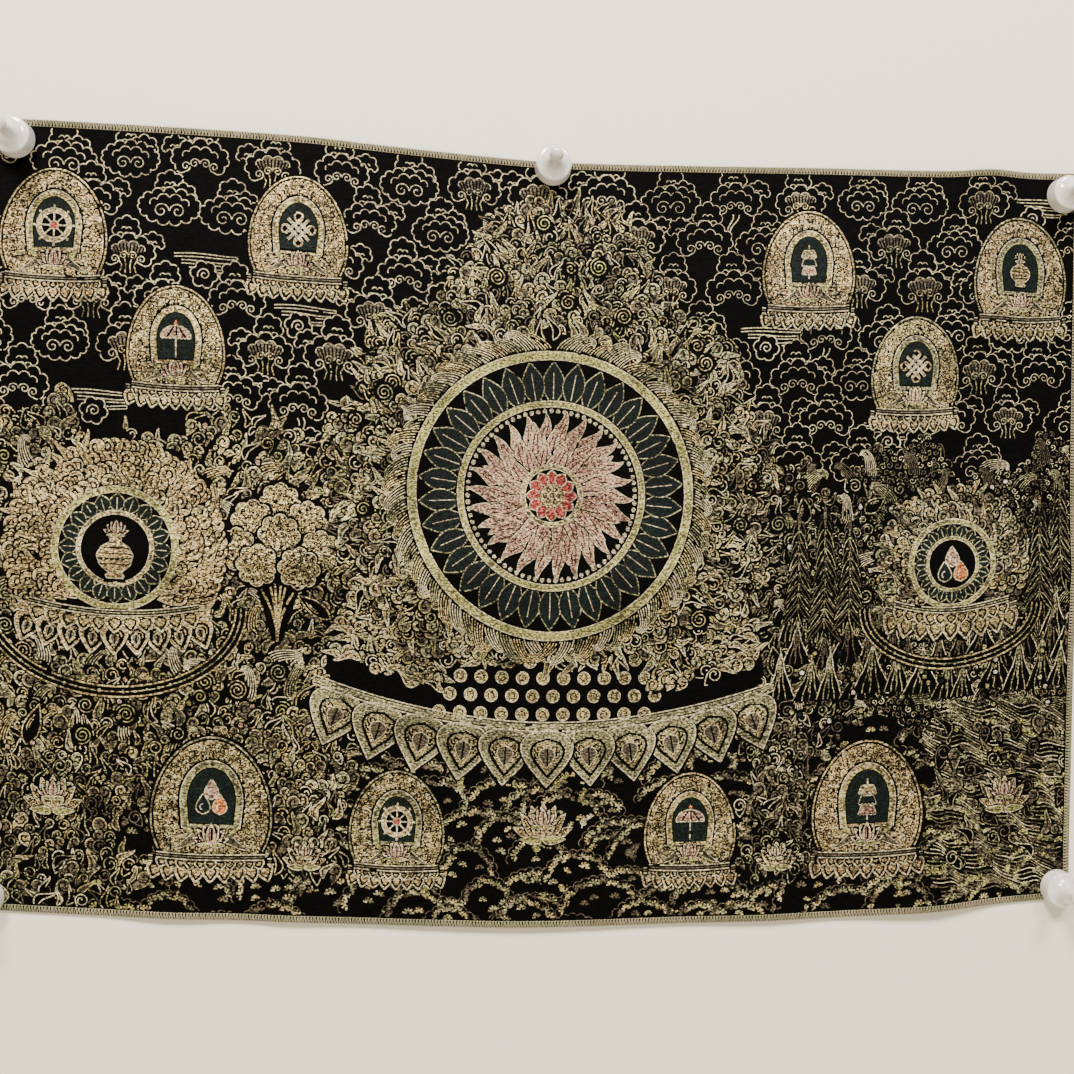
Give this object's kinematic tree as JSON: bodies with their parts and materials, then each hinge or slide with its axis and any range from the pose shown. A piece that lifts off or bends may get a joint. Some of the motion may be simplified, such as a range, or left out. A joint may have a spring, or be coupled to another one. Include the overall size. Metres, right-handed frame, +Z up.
{
  "type": "woven brocade wall panel with magnet pins",
  "caption": "Wide rectangular figured brocade panel with an overlocked edge, held flat to a steel board by white magnet pins at its corners and top middle.",
  "frame": {"origin": "on the board plane, on the cloth's flat back, where the axis of the top middle pin meets it", "axes": "+X runs along the cloth's long side, to the right as seen from the front; +Z is up; +Y points into the board, so the cloth faces -Y"},
  "size_m": [0.8925, 0.037, 0.6266],
  "materials": {
    "brocade": "near-black satin ground with figured metallic weft",
    "metallic_weft": "antique gold metallic weft, satin",
    "pale_weft": "cream and pale gold weft lines, satin",
    "coloured_weft": "dusty pink, copper and teal weft, satin",
    "edge_thread": "fine matt overlock thread, khaki to cream",
    "pin_plastic": "glossy white moulded plastic"
  },
  "bodies": {
    "root": {"cloth": "brocade", "pin_top_left": "pin_plastic", "pin_top_middle": "pin_plastic", "pin_top_right": "pin_plastic", "pin_bottom_left": "pin_plastic", "pin_bottom_right": "pin_plastic"}
  },
  "joints": []
}
